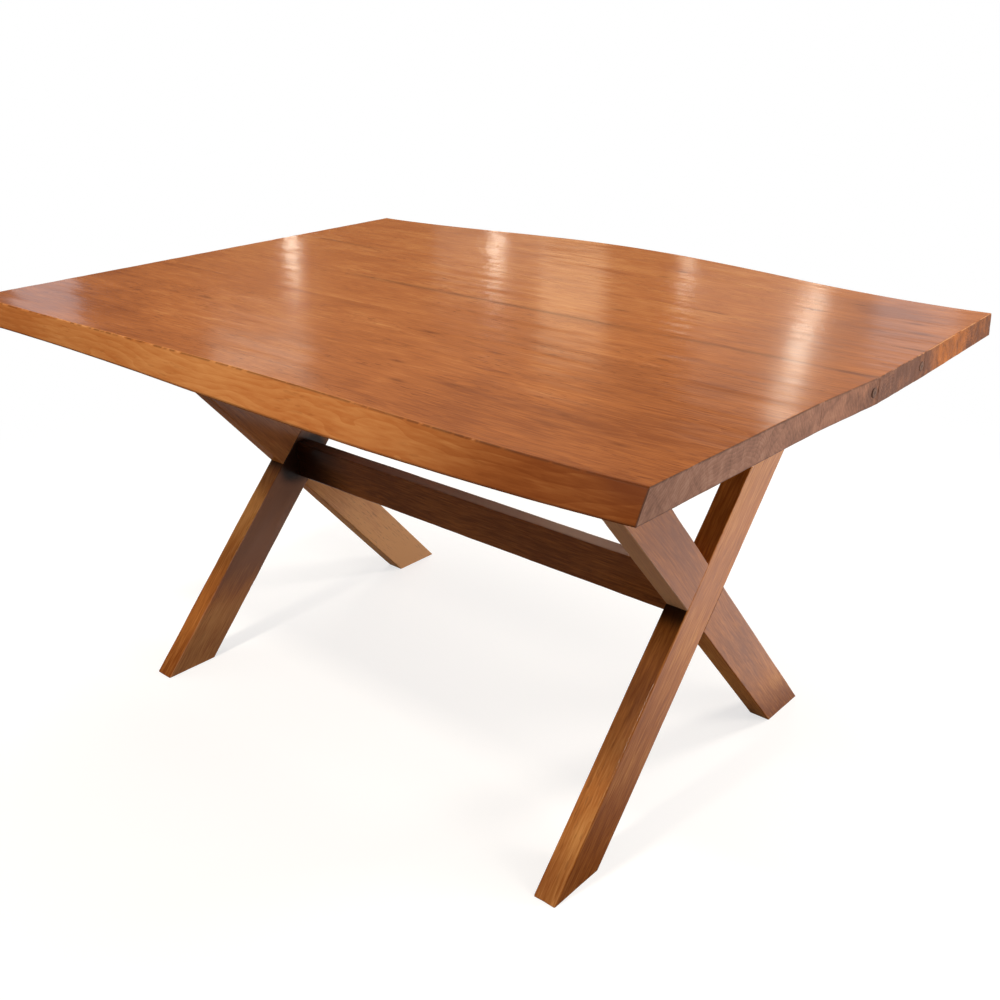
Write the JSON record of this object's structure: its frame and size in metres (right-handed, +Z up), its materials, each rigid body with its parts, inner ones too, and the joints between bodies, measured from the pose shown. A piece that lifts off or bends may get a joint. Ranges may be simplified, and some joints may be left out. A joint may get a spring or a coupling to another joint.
{
  "type": "sawbuck table",
  "caption": "Dining table with a plank top, natural wavy long edges and half-lapped X-frame legs that a stretcher ties together at their crossings.",
  "frame": {"origin": "on the floor, under the middle of the top's overall length and width", "axes": "+X along the table's length towards the end with the pins, +Y towards the back edge with the hump, +Z up"},
  "size_m": [1.4711, 1.1551, 0.76],
  "materials": {
    "top_wood": "satin varnish",
    "frame_wood": "satin varnish",
    "bare_wood": "planed",
    "pin_wood": "end grain, sanded",
    "steel": "dark zinc"
  },
  "bodies": {
    "root": {"front_plank": "top_wood", "middle_front_plank": "top_wood", "middle_back_plank": "top_wood", "back_plank": "top_wood", "right_outer_leg": "frame_wood", "right_inner_leg": "frame_wood", "left_outer_leg": "frame_wood", "left_inner_leg": "frame_wood", "right_cleat": "frame_wood", "left_cleat": "frame_wood", "stretcher": "frame_wood", "front_seam_tongue": "bare_wood", "middle_seam_tongue": "bare_wood", "back_seam_tongue": "bare_wood", "end_pins": "pin_wood", "right_cleat_screws": "steel", "right_leg_bolts": "steel", "right_leg_washers": "steel", "right_leg_nuts": "steel", "left_cleat_screws": "steel", "left_leg_bolts": "steel", "left_leg_washers": "steel", "left_leg_nuts": "steel"}
  },
  "joints": []
}
